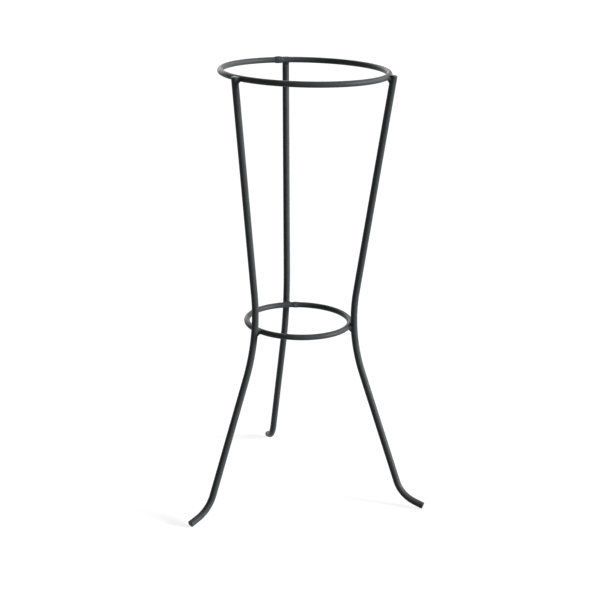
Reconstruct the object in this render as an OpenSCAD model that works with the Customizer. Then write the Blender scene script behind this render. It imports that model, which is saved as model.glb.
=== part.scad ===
// Plant stand of welded round bar: an upper ring that holds a pot by its rim or taper,
// a smaller ring at the waist, and three bent legs welded to the outside of both rings.
// Millimetres, +Z up. The origin is on the rings' axis at floor level, and the rear leg
// stands on +Y.

/* [Overall] */
// Height from the floor to the crown of the upper ring
stand_h = 610; // [520:5:720]

/* [Bars] */
// Diameter of the bar that the rings are bent from
ring_bar_d = 8; // [7:0.5:9]
// Diameter of the bar that the legs are bent from
leg_bar_d = 9.5; // [8:0.5:11]
// Bevel ground on every cut end of a leg
end_bevel = 0.8; // [0.3:0.1:1.5]

/* [Rings] */
// Inner diameter of the upper ring
top_ring_id = 216; // [190:1:250]
// Inner diameter of the lower ring
lower_ring_id = 136; // [115:1:155]
// Height of the lower ring's bar above the floor, at its centre
lower_ring_h = 258; // [220:1:300]
// Opening between the two ends of a ring's bar, which the ring's own weld fills
ring_opening = 2; // [1:0.5:4]
// How far along the bar from the rear leg the upper ring's own weld lies
top_ring_weld_off = 14; // [12:0.5:40]
// How far along the bar from the rear leg the lower ring's own weld lies
lower_ring_weld_off = 12; // [12:0.5:40]

/* [Legs] */
// Drop from the upper ring's crown to the highest edge of a leg's end
leg_top_drop = 0.4; // [0.2:0.1:2]
// Radius of the long bend at the waist, to the bar's centre
waist_bend_r = 250; // [180:5:320]
// Rise of the narrowest point of the waist above the lower ring
waist_rise = 20; // [5:1:30]
// Angle of the lower leg from upright
splay = 20; // [14:1:26]
// Radius of the bend above the foot, to the bar's centre
foot_bend_r = 45; // [30:1:70]
// Fall of the foot from level, in degrees
foot_fall = 20; // [10:1:30]
// Straight length of the foot past its bend
foot_len = 14; // [8:1:30]
// Thickening of the bar where it is bent
bend_swell = 0.05; // [0.02:0.01:0.08]
// Length of straight bar that runs into a bend
bend_blend = 0.2; // [0.2:0.1:0.5]

/* [Welds] */
// Root gap between a leg and a ring, which the weld bridges
root_gap = 0.2; // [0.15:0.05:0.5]
// Hairline left between a weld and the bars that it sits on
weld_seat = 0.02; // [0.01:0.01:0.05]
// Thickness of the bead round a joint
bead_d = 5.4; // [5:0.2:6.4]
// Distance from a joint's centre to the bead's, past the mean of the two bars' radii
bead_lead = 0.1; // [0:0.1:0.4]
// Puddles laid round the bar to close a ring
ring_puddles = 16; // [14:1:20]
// Size of a puddle that closes a ring
ring_puddle_d = 4; // [3.4:0.2:4.6]
// Height of the upper ring's own weld over its bar
ring_weld_proud = 1.1; // [0.6:0.1:1.5]
// Weave of a ring's own weld to each side of the opening
ring_weld_weave = 1.4; // [0.8:0.1:2]
// Height that the lower ring's own weld is ground down to, over its bar
ring_weld_ground = 0.5; // [0.3:0.1:0.6]

/* [Hidden] */
$fn = 96;
sweep_fn = 360;
// Eighth of a facet that a straight bar is turned by, so its edges keep off a bend's
facet_turn = 45 / $fn;
coat = "#303335";
bead_coat = "#2b2e30";

// Where each leg stands, as a turn about the rings' axis
rear = 90;
front_left = 210;
front_right = 330;

// Bars
ring_bar_r = ring_bar_d / 2;
leg_bar_r = leg_bar_d / 2;
bend_bar_r = leg_bar_r + bend_swell;
stand_off = ring_bar_r + root_gap + leg_bar_r;

// Rings, to the centre of the bar
top_ring_r = top_ring_id / 2 + ring_bar_r;
top_ring_h = stand_h - ring_bar_r;
lower_ring_r = lower_ring_id / 2 + ring_bar_r;
top_ring_opens_at = rear + top_ring_weld_off / top_ring_r * 180 / PI;
lower_ring_opens_at = rear - lower_ring_weld_off / lower_ring_r * 180 / PI;

// A leg's centre line lies in one upright plane, as [distance from the axis, height].
// Turns along it are from straight down, outwards positive.
function on_bend(centre, r, turn) = centre - r * [cos(turn), sin(turn)];

// Waist bend: its centre puts the leg against the lower ring
waist_reach = sqrt(pow(waist_bend_r + stand_off, 2) - pow(waist_rise, 2));
waist_c = [lower_ring_r + waist_reach, lower_ring_h + waist_rise];
lower_tilt = -asin(waist_rise / (waist_bend_r + stand_off));

// Upper leg: the line that touches the waist bend and stands off the upper ring
to_waist = waist_c - [top_ring_r, top_ring_h];
lean = atan2(-to_waist[1], to_waist[0]) - acos((waist_bend_r + stand_off) / norm(to_waist));
waist_turn = lean + splay;
upper_end = on_bend(waist_c, waist_bend_r, -lean);
leg_end_h = stand_h - leg_top_drop;
upper_len = (leg_end_h - (leg_bar_r - end_bevel) * sin(lean) - upper_end[1]) / cos(lean);

// Lower leg and foot: the lower edge of the foot's end touches the floor
foot_turn = 90 - foot_fall - splay;
foot_end_h = leg_bar_r * cos(foot_fall) - end_bevel * sin(foot_fall);
foot_drop = foot_bend_r * (cos(foot_fall) - sin(splay)) + foot_len * sin(foot_fall);
lower_start = on_bend(waist_c, waist_bend_r, splay);
lower_len = (lower_start[1] - foot_end_h - foot_drop) / cos(splay);

// Bead round a joint
bead_loop_r = (ring_bar_r + leg_bar_r) / 2 + bead_lead;
bead_x = ring_bar_r + root_gap / 2;

// Straight bar up +Z, which begins below the origin by start
module straight_bar(r, len, start, bevel = 0) {
  rotate([0, 0, facet_turn])
    rotate_extrude()
      polygon([[0, -start], [r, -start], [r, len - bevel], [r - bevel, len], [0, len]]);
}

// Bend that begins at the origin, where the bar runs down, and turns it towards +X
module bent_bar(bend_r, turn, r) {
  translate([bend_r, 0, 0])
    rotate([90, 0, 0])
      rotate([0, 0, 180])
        rotate_extrude(angle = turn, $fn = sweep_fn)
          translate([bend_r, 0])
            circle(r = r);
}

// Carries what follows to the far end of a bend
module past_bend(bend_r, turn) {
  translate([bend_r, 0, 0])
    rotate([0, -turn, 0])
      translate([-bend_r, 0, 0])
        children();
}

// Carries what follows to the foot of the upper leg, where the waist bend begins
module at_waist() {
  translate([upper_end[0], 0, upper_end[1]])
    rotate([0, lean, 0])
      children();
}

module upper_leg(grow = 0) {
  at_waist()
    straight_bar(leg_bar_r + grow, upper_len + grow, bend_blend, end_bevel);
}

module waist(grow = 0) {
  at_waist()
    bent_bar(waist_bend_r, waist_turn, bend_bar_r + grow);
}

module foot() {
  bent_bar(foot_bend_r, foot_turn, bend_bar_r);
  past_bend(foot_bend_r, foot_turn)
    rotate([180, 0, 0])
      straight_bar(leg_bar_r, foot_len, bend_blend, end_bevel);
}

module lower_leg() {
  translate([0, 0, -lower_len]) {
    straight_bar(leg_bar_r, lower_len + bend_blend, bend_blend);
    foot();
  }
}

module leg(where) {
  color(coat)
    rotate([0, 0, where])
      union() {
        upper_leg();
        waist();
        at_waist()
          past_bend(waist_bend_r, waist_turn)
            lower_leg();
      }
}

// A ring's bar, open at the turn where its own weld closes it
module ring_bar(ring_r, opens_at, grow = 0) {
  half_opening = (ring_opening / 2 - grow) / ring_r * 180 / PI;
  rotate([0, 0, opens_at + half_opening])
    rotate_extrude(angle = 360 - 2 * half_opening, $fn = sweep_fn)
      translate([ring_r, 0])
        circle(r = ring_bar_r + grow);
}

module top_ring_bar(grow = 0) {
  translate([0, 0, top_ring_h])
    ring_bar(top_ring_r, top_ring_opens_at, grow);
}

module lower_ring_bar(grow = 0) {
  translate([0, 0, lower_ring_h])
    ring_bar(lower_ring_r, lower_ring_opens_at, grow);
}

// Bead round a joint, in the joint's own frame: +X from the ring's bar to the leg's
module bead() {
  translate([bead_x, 0, 0])
    rotate([0, 90, 0])
      rotate_extrude()
        translate([bead_loop_r, 0])
          circle(d = bead_d);
}

module top_weld(where) {
  color(bead_coat)
    difference() {
      rotate([0, 0, where])
        difference() {
          translate([top_ring_r, 0, top_ring_h])
            rotate([0, lean, 0])
              bead();
          upper_leg(weld_seat);
          translate([top_ring_r - bead_d, -bead_d * 2, leg_end_h])
            cube([bead_d * 3, bead_d * 4, bead_d]);
        }
      top_ring_bar(weld_seat);
    }
}

module lower_weld(where) {
  color(bead_coat)
    difference() {
      rotate([0, 0, where])
        difference() {
          translate([lower_ring_r, 0, lower_ring_h])
            rotate([0, lower_tilt, 0])
              bead();
          waist(weld_seat);
          upper_leg(weld_seat);
        }
      lower_ring_bar(weld_seat);
    }
}

// Plug in a ring's opening, with puddles of weld woven round the bar over it
module ring_closure(ring_r, opens_at) {
  rotate([0, 0, opens_at])
    translate([ring_r, 0, 0]) {
      rotate([90, 0, 0])
        cylinder(r = ring_bar_r, h = ring_opening + 2 * weld_seat, center = true);
      for (i = [0 : ring_puddles - 1]) {
        side = i % 2 == 0 ? 1 : -1;
        rotate([0, 360 * i / ring_puddles, 0])
          translate([ring_bar_r + ring_weld_proud - ring_puddle_d / 2, side * ring_weld_weave, 0])
            sphere(d = ring_puddle_d);
      }
    }
}

// Round bar across a ring's opening, which leaves what grinding leaves of a weld
module ground_bar(ring_r, opens_at) {
  rotate([0, 0, opens_at])
    translate([ring_r, 0, 0])
      rotate([90, 0, 0])
        cylinder(r = ring_bar_r + ring_weld_ground, h = 4 * ring_puddle_d, center = true);
}

module top_ring() {
  color(coat) top_ring_bar();
}

module lower_ring() {
  color(coat) lower_ring_bar();
}

module top_ring_weld() {
  color(bead_coat)
    difference() {
      translate([0, 0, top_ring_h])
        ring_closure(top_ring_r, top_ring_opens_at);
      top_ring_bar(weld_seat);
    }
}

module lower_ring_weld() {
  color(bead_coat)
    difference() {
      translate([0, 0, lower_ring_h])
        intersection() {
          ring_closure(lower_ring_r, lower_ring_opens_at);
          ground_bar(lower_ring_r, lower_ring_opens_at);
        }
      lower_ring_bar(weld_seat);
    }
}

module leg_rear() { leg(rear); }
module leg_front_left() { leg(front_left); }
module leg_front_right() { leg(front_right); }
module top_weld_rear() { top_weld(rear); }
module top_weld_front_left() { top_weld(front_left); }
module top_weld_front_right() { top_weld(front_right); }
module lower_weld_rear() { lower_weld(rear); }
module lower_weld_front_left() { lower_weld(front_left); }
module lower_weld_front_right() { lower_weld(front_right); }

top_ring();
lower_ring();
leg_rear();
leg_front_left();
leg_front_right();
top_weld_rear();
top_weld_front_left();
top_weld_front_right();
lower_weld_rear();
lower_weld_front_left();
lower_weld_front_right();
top_ring_weld();
lower_ring_weld();
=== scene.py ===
"""Looks of the welded plant stand: bent round bar in satin charcoal coat, on a pale floor."""

import math

import bpy
from mathutils import Matrix, Vector


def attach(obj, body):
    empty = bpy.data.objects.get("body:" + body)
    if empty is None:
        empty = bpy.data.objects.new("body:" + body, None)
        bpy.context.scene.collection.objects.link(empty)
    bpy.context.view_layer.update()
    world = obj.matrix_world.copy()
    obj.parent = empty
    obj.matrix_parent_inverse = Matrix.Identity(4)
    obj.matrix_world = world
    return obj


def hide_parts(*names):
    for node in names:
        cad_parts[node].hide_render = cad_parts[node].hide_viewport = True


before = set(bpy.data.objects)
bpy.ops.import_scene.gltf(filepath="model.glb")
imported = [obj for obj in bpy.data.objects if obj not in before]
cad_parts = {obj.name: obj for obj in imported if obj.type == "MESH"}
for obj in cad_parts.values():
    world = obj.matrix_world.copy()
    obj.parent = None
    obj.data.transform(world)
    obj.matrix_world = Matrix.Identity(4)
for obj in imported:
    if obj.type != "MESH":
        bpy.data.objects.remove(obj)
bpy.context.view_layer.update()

# --- sizes of the stand, in metres, as the solids have them -----------------------------
MM = 0.001
STAND_H = 610 * MM
RING_BAR_R = 4 * MM
LEG_BAR_R = 4.75 * MM
END_BEVEL = 0.8 * MM
ROOT_GAP = 0.2 * MM
TOP_RING_R = 112 * MM
LOWER_RING_R = 72 * MM
LOWER_RING_H = 258 * MM
RING_OPENING = 2 * MM
TOP_RING_WELD_OFF = 14 * MM
LOWER_RING_WELD_OFF = 12 * MM
LEG_TOP_DROP = 0.4 * MM
WAIST_BEND_R = 250 * MM
WAIST_RISE = 20 * MM
SPLAY = math.radians(20)
FOOT_BEND_R = 45 * MM
FOOT_FALL = math.radians(20)
FOOT_LEN = 14 * MM

# Where each leg stands, as a turn about the rings' axis
LEGS = {
    "rear": math.radians(90),
    "front_left": math.radians(210),
    "front_right": math.radians(330),
}

# --- what only the looks have -----------------------------------------------------------
# Distance from a cut end, and how far the bar is drawn in there by its bevel, both in mm
END_SHAPE = (
    (0.0, 0.88), (0.03, 0.80), (0.40, 0.41), (0.75, 0.07), (0.84, 0.02), (1.0, 0.0),
    (1.6, 0.0), (2.6, 0.0),
)
# The length at each end that these points take up, and how many get thin coat and a painted glint
END_PART = 4 * MM
THIN_AND_GLINTING_END_POINTS = 5
# Share of a full pinch that the long bend at the waist has; the foot's short bend has it all
WAIST_PINCH = 0.25

# How deep a weld's toes lie under the skin of a bar, and the hidden core of its section
TOE_SINK = 0.12 * MM
CORE_R = 1.2 * MM

# How closely the lines, bars and welds are laid out
UPPER_POINTS, WAIST_POINTS, LOWER_POINTS, FOOT_BEND_POINTS, FOOT_POINTS = 90, 60, 56, 44, 8
RING_POINTS = 300
LEG_SIDES, RING_SIDES = 48, 44
WELD_ROUND, WELD_ACROSS, WELD_IN_CORE = 217, 37, 3
CORE_SHARE = WELD_IN_CORE / (WELD_ACROSS - 1)
BAR_CREASE, WELD_CREASE = math.radians(35), math.radians(60)

# Seeds of what is random; each further piece of a kind takes the next one
LEG_SEED, RING_SEED, WELD_SEED = 3.0, 11.0, 21

# --- the line of a leg, in its own upright plane as (distance from the axis, height) ----
TOP_RING_H = STAND_H - RING_BAR_R
STAND_OFF = RING_BAR_R + ROOT_GAP + LEG_BAR_R
waist_reach = math.sqrt((WAIST_BEND_R + STAND_OFF) ** 2 - WAIST_RISE**2)
waist_c = Vector((LOWER_RING_R + waist_reach, LOWER_RING_H + WAIST_RISE))
to_waist = waist_c - Vector((TOP_RING_R, TOP_RING_H))
LEAN = math.atan2(-to_waist.y, to_waist.x) - math.acos(
    (WAIST_BEND_R + STAND_OFF) / to_waist.length
)
LOWER_TILT = -math.asin(WAIST_RISE / (WAIST_BEND_R + STAND_OFF))
FOOT_TURN = math.pi / 2 - FOOT_FALL


def even(start, stop, count):
    return [start + (stop - start) * k / (count - 1) for k in range(count)]


def along(turn):
    """Direction of the bar, down and outwards, at a turn from straight down."""
    return Vector((math.sin(turn), -math.cos(turn)))


def on_bend(centre, r, turn):
    return centre - r * Vector((math.cos(turn), math.sin(turn)))


def straight(start, turn, steps):
    """Points of a straight part, with no share of bend."""
    return [(start + s * along(turn), 0) for s in steps]


def waist_bend():
    turns = even(-LEAN, SPLAY, WAIST_POINTS)[1:]
    return [(on_bend(waist_c, WAIST_BEND_R, t), WAIST_PINCH) for t in turns]


def foot_bend(centre):
    """The short bend above the foot, pinched most at its middle."""
    bend = FOOT_TURN - SPLAY
    turns = even(SPLAY, FOOT_TURN, FOOT_BEND_POINTS)[1:]
    return [(on_bend(centre, FOOT_BEND_R, t), math.sin(math.pi * (t - SPLAY) / bend))
            for t in turns]


def end_steps():
    return [s * MM for s, _ in END_SHAPE]


def leg_line():
    """Points of the leg's centre line from its top end down, each with its share of bend."""
    upper_end = on_bend(waist_c, WAIST_BEND_R, -LEAN)
    top_h = STAND_H - LEG_TOP_DROP - (LEG_BAR_R - END_BEVEL) * math.sin(LEAN)
    upper_len = (top_h - upper_end.y) / math.cos(LEAN)
    top = upper_end - upper_len * along(-LEAN)
    foot_end_h = LEG_BAR_R * math.cos(FOOT_FALL) - END_BEVEL * math.sin(FOOT_FALL)
    bend_drop = FOOT_BEND_R * (math.sin(FOOT_TURN) - math.sin(SPLAY))
    foot_drop = bend_drop + FOOT_LEN * math.sin(FOOT_FALL)
    lower_start = on_bend(waist_c, WAIST_BEND_R, SPLAY)
    lower_len = (lower_start.y - foot_end_h - foot_drop) / math.cos(SPLAY)
    foot_start = lower_start + lower_len * along(SPLAY)
    foot_c = foot_start + FOOT_BEND_R * Vector((math.cos(SPLAY), math.sin(SPLAY)))
    foot_out = on_bend(foot_c, FOOT_BEND_R, FOOT_TURN)
    end = foot_out + FOOT_LEN * along(FOOT_TURN)
    # each cut end has close points for its bevel; the straights need only a few
    return (
        straight(top, -LEAN, end_steps())
        + straight(top, -LEAN, even(END_PART, upper_len, UPPER_POINTS))
        + waist_bend()
        + straight(lower_start, SPLAY, even(0, lower_len, LOWER_POINTS)[1:])
        + foot_bend(foot_c)
        + straight(foot_out, FOOT_TURN, even(0, FOOT_LEN - END_PART, FOOT_POINTS)[1:])
        + straight(end, FOOT_TURN, [-s for s in reversed(end_steps())])
    )


def leg_radii(count):
    """Radius at each point of a leg's line, drawn in over the bevel at both ends."""
    radii = [LEG_BAR_R] * count
    for k, (_, drawn_in) in enumerate(END_SHAPE):
        radii[k] -= drawn_in * MM
        radii[-1 - k] -= drawn_in * MM
    return radii


def thin_and_glinting_ends(count):
    """1 at the points of a leg's line that are on a cut end, where the coat is thin and a glint
    is painted, and 0 at the others.
    """
    thinned_and_glinting = [0.0] * count
    for k in range(THIN_AND_GLINTING_END_POINTS):
        thinned_and_glinting[k] = thinned_and_glinting[-1 - k] = 1.0
    return thinned_and_glinting


def ring_line(r, h, opens_at):
    """Centre line of a ring's bar, from one side of its opening round to the other."""
    half = RING_OPENING / 2 / r
    turns = even(opens_at + half, opens_at + 2 * math.pi - half, RING_POINTS)
    return [Vector((r * math.cos(a), r * math.sin(a), h)) for a in turns]


# --- help with node trees ---------------------------------------------------------------
class Nodes:
    """Adds nodes to a tree. Each value is a number, a colour or another node's output."""

    def __init__(self, tree):
        self.tree = tree

    def add(self, kind, inputs=None, **settings):
        node = self.tree.nodes.new(kind)
        for key, value in settings.items():
            setattr(node, key, value)
        for key, value in (inputs or {}).items():
            self.put(value, node.inputs[key])
        return node

    def put(self, value, target):
        """Links an output to a socket, or sets the socket's own value."""
        if isinstance(value, bpy.types.NodeSocket):
            self.tree.links.new(value, target)
        else:
            target.default_value = value

    def math(self, operation, *values):
        node = self.add("ShaderNodeMath", dict(enumerate(values)), operation=operation)
        return node.outputs[0]

    def plus(self, a, b):
        return self.math("ADD", a, b)

    def minus(self, a, b):
        return self.math("SUBTRACT", a, b)

    def times(self, a, b, *more):
        product = self.math("MULTIPLY", a, b)
        for value in more:
            product = self.math("MULTIPLY", product, value)
        return product

    def times_plus(self, a, b, c):
        """a times b, plus c."""
        return self.math("MULTIPLY_ADD", a, b, c)

    def mix(self, share, a, b, kind="FLOAT"):
        """Goes from a to b as share goes from 0 to 1. kind is what a and b are."""
        node = self.add("ShaderNodeMix", {"Factor": share, "A": a, "B": b}, data_type=kind)
        return node.outputs["Result"]


class Group(Nodes):
    """A node group with named inputs and outputs."""

    def __init__(self, name, kind="GeometryNodeTree"):
        super().__init__(bpy.data.node_groups.new(name, kind))
        self.enter = self.tree.nodes.new("NodeGroupInput")
        self.leave = self.tree.nodes.new("NodeGroupOutput")

    def takes(self, kind, name, default=None):
        made = self.tree.interface.new_socket(
            name=name, in_out="INPUT", socket_type="NodeSocket" + kind
        )
        if default is not None:
            made.default_value = default

    def gives(self, kind, name):
        self.tree.interface.new_socket(
            name=name, in_out="OUTPUT", socket_type="NodeSocket" + kind
        )

    def clamp(self, value):
        return self.add("ShaderNodeClamp", {"Value": value}).outputs[0]

    def xyz(self, x, y, z):
        return self.add("ShaderNodeCombineXYZ", {"X": x, "Y": y, "Z": z}).outputs[0]

    def moved_by(self, place, direction, distance):
        step = self.add("ShaderNodeVectorMath", {0: direction, "Scale": distance},
                        operation="SCALE")
        return self.add("ShaderNodeVectorMath", {0: place, 1: step.outputs[0]},
                        operation="ADD").outputs[0]

    def named(self, name):
        return self.add("GeometryNodeInputNamedAttribute", {"Name": name},
                        data_type="FLOAT").outputs[0]

    def noise(self, place, scale, detail, seed=0.0):
        return self.add("ShaderNodeTexNoise",
                        {"Vector": place, "Scale": scale, "Detail": detail, "W": seed},
                        noise_dimensions="4D").outputs[0]

    def finish(self, shape, coat, name):
        """Ends a geometry tree: smooth shading, plain geometry and the piece's material."""
        smooth = self.add("GeometryNodeSetShadeSmooth", {"Geometry": shape})
        real = self.add("GeometryNodeRealizeInstances", {"Geometry": smooth.outputs[0]})
        done = self.add("GeometryNodeSetMaterial", {"Geometry": real.outputs[0],
                                                    "Material": coat})
        self.put(done.outputs[0], self.leave.inputs[name])


# --- geometry trees ---------------------------------------------------------------------
# Unevenness of rolled bar: how fine its long and short waves are, and the share of each
LONG_WAVES, SHORT_WAVES = 38.0, 210.0
LONG_SHARE, SHORT_SHARE = 0.7, 0.3


def bar_tree():
    """Sweeps a round bar along a line, with the unevenness of rolled and bent stock."""
    t = Group("bar_along_line")
    t.takes("Geometry", "Line")
    t.takes("Int", "Sides", 40)
    t.takes("Float", "Unevenness", 0.05 * MM)
    t.takes("Float", "Pinch at a bend", 0.12 * MM)
    t.takes("Vector", "Bend direction")
    t.takes("Float", "Seed", 1.0)
    t.takes("Material", "Finish")
    t.gives("Geometry", "Bar")
    i = t.enter.outputs
    profile = t.add("GeometryNodeCurvePrimitiveCircle", {"Resolution": i["Sides"], "Radius": 1.0})
    curve = t.add("GeometryNodeMeshToCurve", {"Mesh": i["Line"]})
    sweep = t.add(
        "GeometryNodeCurveToMesh",
        {"Curve": curve.outputs[0], "Profile Curve": profile.outputs["Curve"],
         "Scale": t.named("bar_r"), "Fill Caps": True},
    )
    place = t.add("GeometryNodeInputPosition").outputs[0]
    normal = t.add("GeometryNodeInputNormal").outputs[0]
    # rolled unevenness only takes metal away, so the bar stays in its own size
    long_waves = t.noise(place, LONG_WAVES, 1.0, i["Seed"])
    short_waves = t.noise(place, SHORT_WAVES, 2.0, i["Seed"])
    waves = t.plus(t.times(long_waves, LONG_SHARE), t.times(short_waves, SHORT_SHARE))
    rolled = t.times(waves, i["Unevenness"])
    facing = t.add("ShaderNodeVectorMath", {0: normal, 1: i["Bend direction"]},
                   operation="DOT_PRODUCT").outputs["Value"]
    pinch = t.times(t.math("ABSOLUTE", facing), t.named("bend"), i["Pinch at a bend"])
    inward = t.times(t.plus(rolled, pinch), -1.0)
    skin = t.moved_by(place, normal, inward)
    moved = t.add("GeometryNodeSetPosition", {"Geometry": sweep.outputs[0], "Position": skin})
    t.finish(moved.outputs[0], i["Finish"], "Bar")
    return t.tree


def weld_grid(t):
    """A grid whose one side is a turn round the weld and whose other goes across it."""
    grid = t.add("GeometryNodeMeshGrid", {"Size X": 1.0, "Size Y": 1.0, "Vertices X": WELD_ROUND,
                                          "Vertices Y": WELD_ACROSS})
    place = t.add("GeometryNodeInputPosition").outputs[0]
    split = t.add("ShaderNodeSeparateXYZ", {"Vector": place}).outputs
    turn = t.times(t.plus(split["X"], 0.5), 2 * math.pi)
    across = t.plus(split["Y"], 0.5)
    # share of the way over the face, and how far the grid has gone in towards the core
    face = t.clamp(t.math("DIVIDE", t.minus(across, CORE_SHARE), 1 - 2 * CORE_SHARE))
    beyond = t.math("ABSOLUTE", t.minus(across, 0.5))
    inward = t.clamp(t.math("DIVIDE", t.minus(beyond, 0.5 - CORE_SHARE), CORE_SHARE))
    return grid.outputs["Mesh"], turn, face, inward


def closed_tube(t, grid, places):
    moved = t.add("GeometryNodeSetPosition", {"Geometry": grid, "Position": places})
    closed = t.add("GeometryNodeMergeByDistance", {"Geometry": moved.outputs[0],
                                                   "Distance": 0.001 * MM})
    return closed.outputs[0]


def wandering(t, cos, sin, scale):
    """The welder's uneven hand, from about -0.5 to 0.5 round the weld."""
    i = t.enter.outputs
    return t.minus(t.noise(t.xyz(cos, sin, 0.0), scale, 2.0, i["Seed"]), 0.5)


def lumpy(t, place):
    """Lumps a few millimetres apart, from about -0.5 to 0.5."""
    return t.minus(t.noise(place, 300.0, 1.0, t.enter.outputs["Seed"]), 0.5)


def arched(t, face):
    """0 at both toes of a weld and 1 at its middle."""
    return t.times(face, t.minus(1.0, face), 4.0)


def rippled(t, turn, wander, arch):
    """Crescents that the puddles of a weld leave, one on the next: 0 in a valley, 1 on top."""
    bow = t.times(t.minus(1.0, arch), 0.6)
    step = t.times(t.math("DIVIDE", turn, 2 * math.pi), t.enter.outputs["Puddles"])
    crescent = t.math("FRACT", t.plus(step, t.times_plus(wander, 2.0, bow)))
    hump = t.math("SINE", t.times(crescent, math.pi))
    return t.times(t.math("MAXIMUM", hump, 0.0), arch)


def on_ring(t, along_ring, turn):
    """Place on the ring's bar, just under its surface: along it, and at a turn round it."""
    r = RING_BAR_R - TOE_SINK
    back = t.times(along_ring, along_ring, t.enter.outputs["Bow of the ring"])
    x = t.minus(t.times(t.math("COSINE", turn), r), back)
    return t.xyz(x, along_ring, t.times(t.math("SINE", turn), r))


def on_leg(t, up_leg, turn):
    """Place on the leg, just under its surface: up it, and at a turn round it."""
    r = LEG_BAR_R - TOE_SINK
    bow = t.enter.outputs["Bow of the leg"]
    out = t.times_plus(t.times(up_leg, up_leg), bow, STAND_OFF)
    x = t.minus(out, t.times(t.math("COSINE", turn), r))
    return t.xyz(x, t.times(t.math("SINE", turn), r), up_leg)


# How much the hand's wander changes a fillet's size, and how quickly it comes and goes
FILLET_WANDER, FILLET_WANDER_SCALE = 0.34, 1.6


def fillet_toes(t, cos, sin, wander):
    """The two toes of a fillet: on the ring's bar, and on the leg."""
    i = t.enter.outputs
    size = t.times_plus(wander, FILLET_WANDER, 1.0)
    along_ring = t.times(cos, i["Reach along ring"], size)
    round_ring = t.times(sin, i["Wrap"], size)
    reach = t.mix(t.math("GREATER_THAN", sin, 0.0), i["Reach down leg"], i["Reach up leg"])
    up_leg = t.times(sin, reach, size)
    round_leg = t.times(cos, i["Wrap"], size)
    return on_ring(t, along_ring, round_ring), on_leg(t, up_leg, round_leg)


def fillet_tree():
    """Weld fillet that runs round the crossing of a ring's bar and a leg.

    It is a closed tube laid out on a grid. One side of the grid goes round the joint. The
    other goes from the core to the toe on the ring's bar, over the fillet's face to the toe
    on the leg, and back. Places are in the joint's frame: +X from ring to leg, +Z up the leg.
    """
    t = Group("fillet_round_a_joint")
    t.takes("Geometry", "Joint")
    t.takes("Float", "Bow of the ring", 0.0)
    t.takes("Float", "Bow of the leg", 0.0)
    t.takes("Float", "Reach along ring", 7.2 * MM)
    t.takes("Float", "Reach down leg", 7.8 * MM)
    t.takes("Float", "Reach up leg", 7.4 * MM)
    t.takes("Float", "Wrap", 1.25)
    t.takes("Float", "Hollow", 0.35 * MM)
    t.takes("Float", "Puddles", 15.0)
    t.takes("Float", "Puddle depth", 0.26 * MM)
    t.takes("Float", "Lumps", 0.6 * MM)
    t.takes("Float", "Drop", 0.0)
    t.takes("Int", "Spatter", 6)
    t.takes("Int", "Seed", 1)
    t.takes("Material", "Finish")
    t.gives("Geometry", "Fillet")
    i = t.enter.outputs
    grid, turn, face, inward = weld_grid(t)
    cos, sin = t.math("COSINE", turn), t.math("SINE", turn)
    wander = wandering(t, cos, sin, FILLET_WANDER_SCALE)
    ring_toe, leg_toe = fillet_toes(t, cos, sin, wander)
    chord = t.mix(face, ring_toe, leg_toe, "VECTOR")
    arch = arched(t, face)
    ripple = rippled(t, turn, wander, arch)
    sag = t.minus(t.times(lumpy(t, chord), i["Lumps"]), i["Hollow"])
    rise = t.times_plus(arch, sag, t.times(ripple, i["Puddle depth"]))
    surface = t.moved_by(chord, t.xyz(0.0, cos, sin), rise)
    core = t.xyz(RING_BAR_R + ROOT_GAP / 2, t.times(cos, CORE_R), t.times(sin, CORE_R))
    fillet = closed_tube(t, grid, t.mix(inward, surface, core, "VECTOR"))
    whole = t.add("GeometryNodeJoinGeometry")
    for part in (fillet, spatter(t), drop(t)):
        t.put(part, whole.inputs[0])
    t.finish(whole.outputs[0], i["Finish"], "Fillet")
    return t.tree


# Where spatter lies: how near the joint and how much farther, along each bar, and the
# turns round the bar. Its share on the leg, and its radius in mm.
BELOW_JOINT, FARTHER_BELOW, ROUND_LEG = 9.5 * MM, 9 * MM, (-1.9, 1.9)
BESIDE_JOINT, FARTHER_BESIDE, ROUND_RING = 9 * MM, 8 * MM, (-2.4, 0.9)
ON_LEG_SHARE = 0.55
SPATTER_SIZES = (0.22, 0.5)


def spatter(t):
    """Small balls of weld metal that stuck to the leg below a joint and to the ring by it."""
    i = t.enter.outputs
    dots = t.add("GeometryNodePoints", {"Count": i["Spatter"]})

    def chance(low, high, salt):
        seed = t.plus(t.times(i["Seed"], 7.0), salt)
        return t.add("FunctionNodeRandomValue", {"Min": low, "Max": high, "Seed": seed},
                     data_type="FLOAT").outputs["Value"]

    far = t.math("POWER", chance(0.0, 1.0, 1.0), 2.0)
    side = t.math("SIGN", chance(-1.0, 1.0, 2.0))
    low = on_leg(t, t.times_plus(far, -FARTHER_BELOW, -BELOW_JOINT), chance(*ROUND_LEG, 3.0))
    along_ring = t.times(side, t.times_plus(far, FARTHER_BESIDE, BESIDE_JOINT))
    beside = on_ring(t, along_ring, chance(*ROUND_RING, 4.0))
    on_the_ring = t.math("GREATER_THAN", chance(0.0, 1.0, 5.0), ON_LEG_SHARE)
    place = t.mix(on_the_ring, low, beside, "VECTOR")
    set_down = t.add("GeometryNodeSetPosition", {"Geometry": dots.outputs[0],
                                                 "Position": place})
    ball = t.add("GeometryNodeMeshIcoSphere", {"Radius": 1 * MM, "Subdivisions": 3})
    balls = t.add("GeometryNodeInstanceOnPoints",
                  {"Points": set_down.outputs[0], "Instance": ball.outputs[0],
                   "Scale": chance(*SPATTER_SIZES, 6.0)})
    return balls.outputs[0]


# Where the drop hangs on the leg, and its width and length against its thickness
DROP_BELOW, DROP_TURN = 8.6 * MM, 0.42
DROP_WIDTH, DROP_LENGTH = 0.8, 1.6


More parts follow.
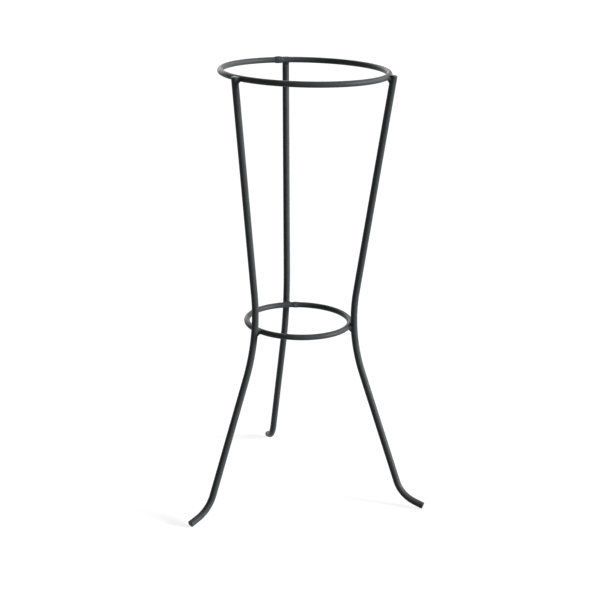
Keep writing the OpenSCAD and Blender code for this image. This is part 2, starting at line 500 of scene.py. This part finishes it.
def drop(t):
    """Drop that ran a little way down the leg from the weld's toe. Size 0 leaves it out."""
    size = t.enter.outputs["Drop"]
    here = t.add("GeometryNodePoints", {"Count": t.math("GREATER_THAN", size, 0.0),
                                        "Position": on_leg(t, -DROP_BELOW, DROP_TURN)})
    ball = t.add("GeometryNodeMeshIcoSphere", {"Radius": 1 * MM, "Subdivisions": 4})
    shape = t.xyz(t.times(size, DROP_WIDTH), size, t.times(size, DROP_LENGTH))
    run = t.add("GeometryNodeInstanceOnPoints",
                {"Points": here.outputs[0], "Instance": ball.outputs[0], "Scale": shape})
    return run.outputs[0]


# A closing weld's wander, as above, how full its crown is (lower is fuller), and over what
# depth of grinding its coat turns from full to thin and paler, as a painted glint
CLOSURE_WANDER, CLOSURE_WANDER_SCALE = 0.6, 2.2
CROWN_POWER = 0.6
GROUND_BLEND = 0.2 * MM


def closure_tree():
    """Weld laid round a bar where its two ends meet, woven to and fro, and then ground."""
    t = Group("weld_round_a_bar")
    t.takes("Geometry", "Joint")
    t.takes("Float", "Bow of the ring", 0.0)
    t.takes("Float", "Half width", 4.4 * MM)
    t.takes("Float", "Run on to the joint", 0.0)
    t.takes("Float", "Height", 1.0 * MM)
    t.takes("Float", "Ground to", 1.0 * MM)
    t.takes("Float", "Puddles", 9.0)
    t.takes("Float", "Puddle depth", 0.3 * MM)
    t.takes("Float", "Lumps", 0.8 * MM)
    t.takes("Int", "Seed", 1)
    t.takes("Material", "Finish")
    t.gives("Geometry", "Weld")
    i = t.enter.outputs
    grid, turn, face, inward = weld_grid(t)
    cos, sin = t.math("COSINE", turn), t.math("SINE", turn)
    wander = wandering(t, cos, sin, CLOSURE_WANDER_SCALE)
    near_toe = t.times(i["Half width"], t.times_plus(wander, CLOSURE_WANDER, 1.0))
    far_toe = t.times(t.plus(near_toe, i["Run on to the joint"]), -1.0)
    across = t.mix(face, near_toe, far_toe)
    arch = arched(t, face)
    crown = t.math("POWER", arch, CROWN_POWER)
    skin = t.xyz(t.times(cos, RING_BAR_R), across, t.times(sin, RING_BAR_R))
    height = t.times_plus(lumpy(t, skin), i["Lumps"], i["Height"])
    ripple = rippled(t, turn, t.plus(wander, face), arch)
    laid = t.times(t.times_plus(t.minus(ripple, 1.0), i["Puddle depth"], height), crown)
    # what the grinder took off, for the coat that is thin over it and the glint painted there
    taken = t.math("DIVIDE", t.minus(laid, i["Ground to"]), GROUND_BLEND)
    ground = t.add("GeometryNodeStoreNamedAttribute",
                   {"Geometry": grid, "Name": "edge", "Value": t.clamp(taken)})
    rise = t.math("MINIMUM", laid, i["Ground to"])
    sunk = t.times(t.minus(1.0, crown), TOE_SINK)
    over = t.plus(RING_BAR_R, t.minus(rise, sunk))
    back = t.times(across, across, i["Bow of the ring"])
    surface = t.xyz(t.minus(t.times(cos, over), back), across, t.times(sin, over))
    core = t.xyz(t.times(cos, CORE_R), 0.0, t.times(sin, CORE_R))
    tube = closed_tube(t, ground.outputs[0], t.mix(inward, surface, core, "VECTOR"))
    t.finish(tube, i["Finish"], "Weld")
    return t.tree


# --- finishes ---------------------------------------------------------------------------
# How the coat's slow drift, its clouds and its fine texture share in its tone
DRIFT_SHARE, CLOUD_SHARE, TEXTURE_SHARE = 0.4, 0.3, 0.3
GRAIN_HEIGHT = 0.12
NIB_SPACING, NIB_R, NIB_STEEPNESS = 420.0, 0.16, 6.0


def coat_group():
    """Powder coat: fine texture, slow drift of tone and gloss, and small nibs of grit."""
    t = Group("coat_detail", "ShaderNodeTree")
    t.takes("Float", "Texture size", 1900.0)
    t.takes("Float", "Drift size", 22.0)
    t.takes("Float", "Nibs", 0.5)
    t.gives("Float", "Tone")
    t.gives("Float", "Gloss")
    t.gives("Float", "Height")
    i = t.enter.outputs
    place = t.add("ShaderNodeTexCoord").outputs["Object"]
    texture = t.noise(place, i["Texture size"], 2.0)
    grain = t.noise(place, t.times(i["Texture size"], 3.5), 1.0)
    drift = t.noise(place, i["Drift size"], 3.0)
    cloud = t.noise(place, t.times(i["Drift size"], 9.0), 4.0)
    nibs = t.add("ShaderNodeTexVoronoi", {"Vector": place, "Scale": NIB_SPACING})
    nib = t.times(t.minus(NIB_R, nibs.outputs["Distance"]), NIB_STEEPNESS)
    nib = t.times(t.math("MAXIMUM", nib, 0.0), i["Nibs"])
    slow = t.plus(t.times(drift, DRIFT_SHARE), t.times(cloud, CLOUD_SHARE))
    height = t.plus(t.times_plus(grain, GRAIN_HEIGHT, texture), nib)
    t.put(t.times_plus(texture, TEXTURE_SHARE, slow), t.leave.inputs["Tone"])
    t.put(t.times_plus(grain, TEXTURE_SHARE, slow), t.leave.inputs["Gloss"])
    t.put(height, t.leave.inputs["Height"])
    return t.tree


def dust_wear_sheen_and_glint_group():
    """Dusting with a painted sheen on upward faces; thin coat with a painted glint at cut and
    ground places.
    """
    t = Group("dust_and_thin_edges", "ShaderNodeTree")
    t.takes("Float", "Dust", 0.3)
    t.takes("Float", "Thin edges", 0.9)
    t.gives("Float", "Dust mask")
    t.gives("Float", "Thin coat and glint mask")
    i = t.enter.outputs
    place = t.add("ShaderNodeTexCoord").outputs["Object"]
    normal = t.add("ShaderNodeNewGeometry").outputs["Normal"]
    up = t.add("ShaderNodeSeparateXYZ", {"Vector": normal}).outputs["Z"]
    patch = t.noise(place, 140.0, 4.0)
    # upward faces are made paler: part dusting, part a painted sheen of light on the tops
    level = t.math("POWER", t.math("MAXIMUM", up, 0.0), 2.0)
    # cut ends and ground places are made paler: part thin coat, part a painted glint
    edge = t.add("ShaderNodeAttribute", attribute_name="edge").outputs["Fac"]
    grit = t.noise(place, 1600.0, 3.0)
    t.put(t.times(level, t.times(patch, i["Dust"])), t.leave.inputs["Dust mask"])
    t.put(t.times(edge, grit, i["Thin edges"]), t.leave.inputs["Thin coat and glint mask"])
    return t.tree


# Pale tone for upward faces: dusting, and a painted sheen of light on the tops
DUSTING_AND_SHEEN = (0.16, 0.16, 0.155, 1)
# Paler tone at cut and ground places: thin coat, and a painted glint of light off bevels and
# ground spots
THIN_COAT_AND_GLINT = (0.145, 0.147, 0.150, 1)
SPECULAR_LEVEL = 0.08
BUMP_DEPTH = 0.1 * MM


def new_material(name):
    material = bpy.data.materials.new(name)
    material.use_nodes = True
    material.node_tree.nodes.clear()
    return material, Nodes(material.node_tree)


def coated(name, dark, light, roughness, peel, nibs, dust):
    """Satin charcoal coat. dark and light are the two ends of its slow drift of tone."""
    material, m = new_material(name)
    coat = m.add("ShaderNodeGroup", node_tree=coat_nodes)
    m.put(nibs, coat.inputs["Nibs"])
    wear_and_sheen_masks = m.add("ShaderNodeGroup", node_tree=dust_wear_sheen_and_glint_nodes)
    m.put(dust, wear_and_sheen_masks.inputs["Dust"])
    clean = m.mix(coat.outputs["Tone"], dark, light, "RGBA")
    # the coat is paled on upward faces (dusting and painted sheen) and at cut and ground places
    # (thin coat and painted glint)
    dusted_and_sheened = m.mix(wear_and_sheen_masks.outputs["Dust mask"], clean, DUSTING_AND_SHEEN, "RGBA")
    thinned_and_glinting = m.mix(wear_and_sheen_masks.outputs["Thin coat and glint mask"], dusted_and_sheened, THIN_COAT_AND_GLINT, "RGBA")
    rough = m.add("ShaderNodeMapRange", {"Value": coat.outputs["Gloss"],
                                         "To Min": roughness[0], "To Max": roughness[1]})
    bump = m.add("ShaderNodeBump", {"Strength": peel, "Distance": BUMP_DEPTH,
                                    "Height": coat.outputs["Height"]})
    paint = m.add("ShaderNodeBsdfPrincipled",
                  {"Base Color": thinned_and_glinting, "Roughness": rough.outputs["Result"],
                   "Specular IOR Level": SPECULAR_LEVEL, "Normal": bump.outputs["Normal"]})
    m.add("ShaderNodeOutputMaterial", {"Surface": paint.outputs["BSDF"]})
    return material


coat_nodes, dust_wear_sheen_and_glint_nodes = coat_group(), dust_wear_sheen_and_glint_group()
bar_coat = coated(
    "charcoal_coat_on_bar", dark=(0.028, 0.031, 0.033, 1), light=(0.064, 0.069, 0.071, 1),
    roughness=(0.3, 0.5), peel=0.6, nibs=0.4, dust=0.25,
)
bead_coat = coated(
    "charcoal_coat_on_weld", dark=(0.024, 0.027, 0.029, 1), light=(0.056, 0.061, 0.063, 1),
    roughness=(0.36, 0.58), peel=0.7, nibs=0.6, dust=0.25,
)


# --- growing a piece on its line --------------------------------------------------------
def line_object(name, points, radii, **values):
    """A line of edges through the points, with a radius and named values at each point."""
    mesh = bpy.data.meshes.new(name)
    mesh.from_pydata(points, [(k, k + 1) for k in range(len(points) - 1)], [])
    for key, numbers in {"bar_r": radii, **values}.items():
        mesh.attributes.new(key, "FLOAT", "POINT").data.foreach_set("value", numbers)
    made = bpy.data.objects.new(name, mesh)
    bpy.context.scene.collection.objects.link(made)
    return made


def start_of_weld():
    return line_object("start_of_weld", [(0, 0, 0)], [0.0])


def grown(name, line, tree, crease, place=None, **inputs):
    """Grows a tree's geometry on a line and returns it as a plain mesh object.

    place turns what grew from a joint's own frame to where the joint is. Each further
    value goes to the tree's input of that name.
    """
    modifier = line.modifiers.new("grow", "NODES")
    modifier.node_group = tree
    for item in tree.interface.items_tree:
        key = item.name.lower().replace(" ", "_")
        if item.in_out == "INPUT" and key in inputs:
            modifier[item.identifier] = inputs[key]
    graph = bpy.context.evaluated_depsgraph_get()
    mesh = bpy.data.meshes.new_from_object(line.evaluated_get(graph), depsgraph=graph)
    if place is not None:
        mesh.transform(place)
    mesh.set_sharp_from_angle(angle=crease)
    mesh.name = name
    bpy.data.objects.remove(line)
    made = bpy.data.objects.new(name, mesh)
    bpy.context.scene.collection.objects.link(made)
    return made


def finish_piece(piece, node):
    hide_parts(node)
    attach(piece, "root")


# --- legs and rings ---------------------------------------------------------------------
def make_legs():
    line = leg_line()
    bends = [share for _, share in line]
    for n, (where, turn) in enumerate(LEGS.items()):
        outwards = Vector((math.cos(turn), math.sin(turn), 0))
        points = [Vector((p.x * outwards.x, p.x * outwards.y, p.y)) for p, _ in line]
        path = line_object("leg_line_" + where, points, leg_radii(len(points)),
                           bend=bends, edge=thin_and_glinting_ends(len(points)))
        leg = grown("bent_leg_" + where, path, bar_nodes, BAR_CREASE, sides=LEG_SIDES,
                    seed=LEG_SEED + n, bend_direction=outwards, finish=bar_coat)
        finish_piece(leg, "leg_" + where)


# Radius and height of each ring's centre line, and the turn at which its bar's ends meet
RINGS = {
    "top": (TOP_RING_R, TOP_RING_H, LEGS["rear"] + TOP_RING_WELD_OFF / TOP_RING_R),
    "lower": (LOWER_RING_R, LOWER_RING_H, LEGS["rear"] - LOWER_RING_WELD_OFF / LOWER_RING_R),
}


def make_rings():
    for n, (which, (r, h, opens_at)) in enumerate(RINGS.items()):
        points = ring_line(r, h, opens_at)
        path = line_object("ring_line_" + which, points, [RING_BAR_R] * len(points),
                           bend=[0.0] * len(points), edge=[0.0] * len(points))
        ring = grown(which + "_ring_bar", path, bar_nodes, BAR_CREASE, sides=RING_SIDES,
                     seed=RING_SEED + n, finish=bar_coat)
        finish_piece(ring, which + "_ring")


# --- welds ------------------------------------------------------------------------------
def joint_frame(ring_r, ring_h, tilt, turn):
    """+X from the ring's bar to the leg's, +Z up along the leg."""
    return (
        Matrix.Rotation(turn, 4, "Z")
        @ Matrix.Translation((ring_r, 0, ring_h))
        @ Matrix.Rotation(tilt, 4, "Y")
    )


def bow(r):
    """How far a bar bent to this radius falls away, for each unit of length squared."""
    return 0.5 / r


# At the top the leg ends just over the ring's bar, so the fillet there reaches up little.
# own has what one joint alone has: a small weld, and a weld with a drop below it.
JOINTS = {
    "top": {
        "at": (TOP_RING_R, TOP_RING_H, LEAN),
        "inputs": {"reach_up_leg": 2.6 * MM, "bow_of_the_leg": 0.0},
        "own": {
            "front_left": {"reach_along_ring": 5.6 * MM, "reach_down_leg": 5.8 * MM},
            "rear": {"drop": 1.3},
        },
    },
    "lower": {
        "at": (LOWER_RING_R, LOWER_RING_H, LOWER_TILT),
        "inputs": {"reach_up_leg": 7.2 * MM, "bow_of_the_leg": bow(WAIST_BEND_R)},
        "own": {},
    },
}


def make_joint_weld(level, where, seed):
    joint = JOINTS[level]
    ring_r, ring_h, tilt = joint["at"]
    fillet = grown(
        "%s_joint_weld_%s" % (level, where), start_of_weld(), fillet_nodes, WELD_CREASE,
        joint_frame(ring_r, ring_h, tilt, LEGS[where]), bow_of_the_ring=bow(ring_r),
        seed=seed, finish=bead_coat, **joint["inputs"], **joint["own"].get(where, {}),
    )
    finish_piece(fillet, "%s_weld_%s" % (level, where))


CLOSURES = {
    "top": {"half_width": 4.6 * MM, "height": 0.9 * MM, "ground_to": 1.08 * MM,
            "puddle_depth": 0.3 * MM, "run_on_to_the_joint": 3.0 * MM},
    "lower": {"half_width": 3.6 * MM, "height": 0.7 * MM, "ground_to": 0.34 * MM,
              "puddle_depth": 0.15 * MM},
}


def make_closing_weld(which, seed):
    r, h, opens_at = RINGS[which]
    weld = grown(
        which + "_ring_closing_weld", start_of_weld(), closure_nodes, WELD_CREASE,
        joint_frame(r, h, 0, opens_at), bow_of_the_ring=bow(r), seed=seed, finish=bead_coat,
        **CLOSURES[which],
    )
    finish_piece(weld, which + "_ring_weld")


def make_welds():
    seed = WELD_SEED
    for level in JOINTS:
        for where in LEGS:
            make_joint_weld(level, where, seed)
            seed += 1
    for which in RINGS:
        make_closing_weld(which, seed)
        seed += 1


# --- floor, light and camera ------------------------------------------------------------
FLOOR_FAR, FLOOR_H = 40.0, -0.2 * MM
FLOOR_TONE = (0.42, 0.42, 0.42, 1)
FLOOR_LIFT = 0.76
ROOM_TINT = (0.97, 0.99, 1.0, 1)
ROOM_LEVEL = 0.07
WHITE = (1, 1, 1, 1)
LAMP_OFF = 3


def shown_background(m):
    """1 for the rays that show the background itself, to the camera, in gloss or in glass."""
    ray = m.add("ShaderNodeLightPath").outputs
    seen = m.math("MAXIMUM", ray["Is Camera Ray"], ray["Is Glossy Ray"])
    return m.math("MAXIMUM", seen, ray["Is Transmission Ray"])


def white_floor():
    """Pale floor that runs on as far as is seen, and keeps the stand's soft shadow."""
    material, m = new_material("white_floor")
    paint = m.add("ShaderNodeBsdfDiffuse", {"Color": FLOOR_TONE})
    glow = m.add("ShaderNodeEmission", {"Strength": m.times(shown_background(m), FLOOR_LIFT)})
    both = m.add("ShaderNodeAddShader", {0: paint.outputs[0], 1: glow.outputs[0]})
    m.add("ShaderNodeOutputMaterial", {"Surface": both.outputs[0]})
    mesh = bpy.data.meshes.new("floor")
    corners = ((-1, -1), (1, -1), (1, 1), (-1, 1))
    mesh.from_pydata([(x * FLOOR_FAR, y * FLOOR_FAR, FLOOR_H) for x, y in corners],
                     [], [(0, 1, 2, 3)])
    mesh.materials.append(material)
    floor = bpy.data.objects.new("floor", mesh)
    bpy.context.scene.collection.objects.link(floor)


def studio_world():
    """Dim room that fills the shadows, with a white backdrop to look at."""
    world = bpy.data.worlds.new("studio")
    bpy.context.scene.world = world
    world.use_nodes = True
    world.node_tree.nodes.clear()
    m = Nodes(world.node_tree)
    room = m.add("ShaderNodeBackground", {"Color": ROOM_TINT, "Strength": ROOM_LEVEL})
    backdrop = m.add("ShaderNodeBackground", {"Color": WHITE, "Strength": 1.0})
    seen = m.add("ShaderNodeMixShader", {0: shown_background(m), 1: room.outputs[0],
                                         2: backdrop.outputs[0]})
    m.add("ShaderNodeOutputWorld", {"Surface": seen.outputs[0]})


def soft_light(name, heading, height, spread, strength):
    """Soft light from far off, even over the floor. heading turns from +X to +Y."""
    data = bpy.data.lights.new(name, "SUN")
    data.angle = math.radians(spread)
    data.energy = strength
    lamp = bpy.data.objects.new(name, data)
    heading, height = math.radians(heading), math.radians(height)
    towards = Vector((math.cos(heading) * math.cos(height), math.sin(heading) * math.cos(height),
                      math.sin(height)))
    lamp.location = LAMP_OFF * towards
    lamp.rotation_euler = towards.to_track_quat("Z", "Y").to_euler()
    bpy.context.scene.collection.objects.link(lamp)


# The camera, from a fit to the rings and legs in the photograph. Its place is a distance
# from the rings' axis, a height, and a turn from -Y to -X; its heading turns from +Y to +X.
CAMERA_OFF, CAMERA_H, CAMERA_TURN = 1.82414, 0.87064, math.radians(13.05)
CAMERA_HEADING, CAMERA_PITCH = math.radians(13.10), math.radians(-17.71)
CAMERA_ROLL = math.radians(1.5)
FOCAL_PX, PHOTO_PX = 1372.86, 600
SENSOR_W = 36


def photo_camera():
    """Camera at the photograph's angle."""
    heading, pitch, roll = CAMERA_HEADING, CAMERA_PITCH, CAMERA_ROLL
    ahead = Vector((math.sin(heading) * math.cos(pitch), math.cos(heading) * math.cos(pitch),
                    math.sin(pitch)))
    right = Vector((math.cos(heading), -math.sin(heading), 0))
    up = right.cross(ahead)
    right, up = (right * math.cos(roll) + up * math.sin(roll),
                 up * math.cos(roll) - right * math.sin(roll))
    data = bpy.data.cameras.new("photo_camera")
    data.sensor_width = SENSOR_W
    data.lens = SENSOR_W * FOCAL_PX / PHOTO_PX
    data.clip_start = 0.05
    camera = bpy.data.objects.new("photo_camera", data)
    basis = Matrix((right, up, -ahead)).transposed().to_4x4()
    basis.translation = Vector((-CAMERA_OFF * math.sin(CAMERA_TURN),
                                -CAMERA_OFF * math.cos(CAMERA_TURN), CAMERA_H))
    camera.matrix_world = basis
    bpy.context.scene.collection.objects.link(camera)
    bpy.context.scene.camera = camera


# --- the whole scene --------------------------------------------------------------------
bar_nodes, fillet_nodes, closure_nodes = bar_tree(), fillet_tree(), closure_tree()
make_legs()
make_rings()
make_welds()

white_floor()
studio_world()
soft_light("key_from_right", heading=-28, height=12, spread=16, strength=5.4)
soft_light("fill_from_right", heading=10, height=20, spread=50, strength=1.6)
soft_light("fill_from_behind", heading=100, height=15, spread=50, strength=1.4)
photo_camera()
bpy.context.scene.view_settings.view_transform = "Standard"
